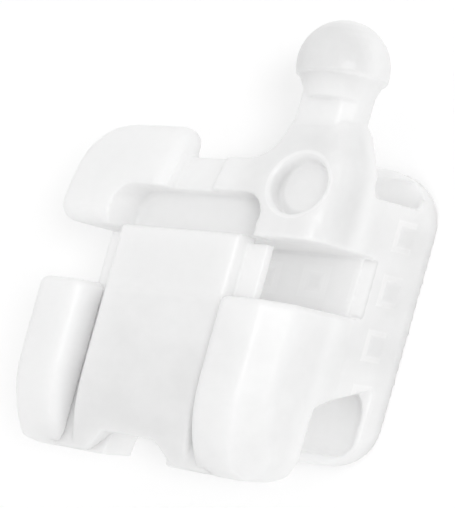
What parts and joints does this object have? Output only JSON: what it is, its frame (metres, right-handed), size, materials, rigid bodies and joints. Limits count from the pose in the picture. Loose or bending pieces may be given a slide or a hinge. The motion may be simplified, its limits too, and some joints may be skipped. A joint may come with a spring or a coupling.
{
  "type": "orthodontic bracket",
  "caption": "Ceramic self-ligating orthodontic bracket: a sliding door closes the archwire slot between tie wings, with a ball hook and a pitted bonding pad.",
  "frame": {"origin": "on the plane of the bonding pad's side edges, straight behind the middle of the archwire slot", "axes": "+X along the archwire slot, +Y towards the hook, +Z out of the tooth"},
  "size_m": [0.0035, 0.0042, 0.0019],
  "materials": {
    "moulded_ceramic": "satin",
    "door_ceramic": "satin",
    "spring_steel": "bright rolled"
  },
  "bodies": {
    "body": {"bracket_body": "moulded_ceramic", "spring_pin": "spring_steel"},
    "slide": {"ligating_slide": "door_ceramic"}
  },
  "joints": [
    {"name": "slide_open", "type": "slide", "parent": "body", "child": "slide", "axis": [-0.1461, -0.9893, 0], "range_m": [0, 0.00062]}
  ]
}
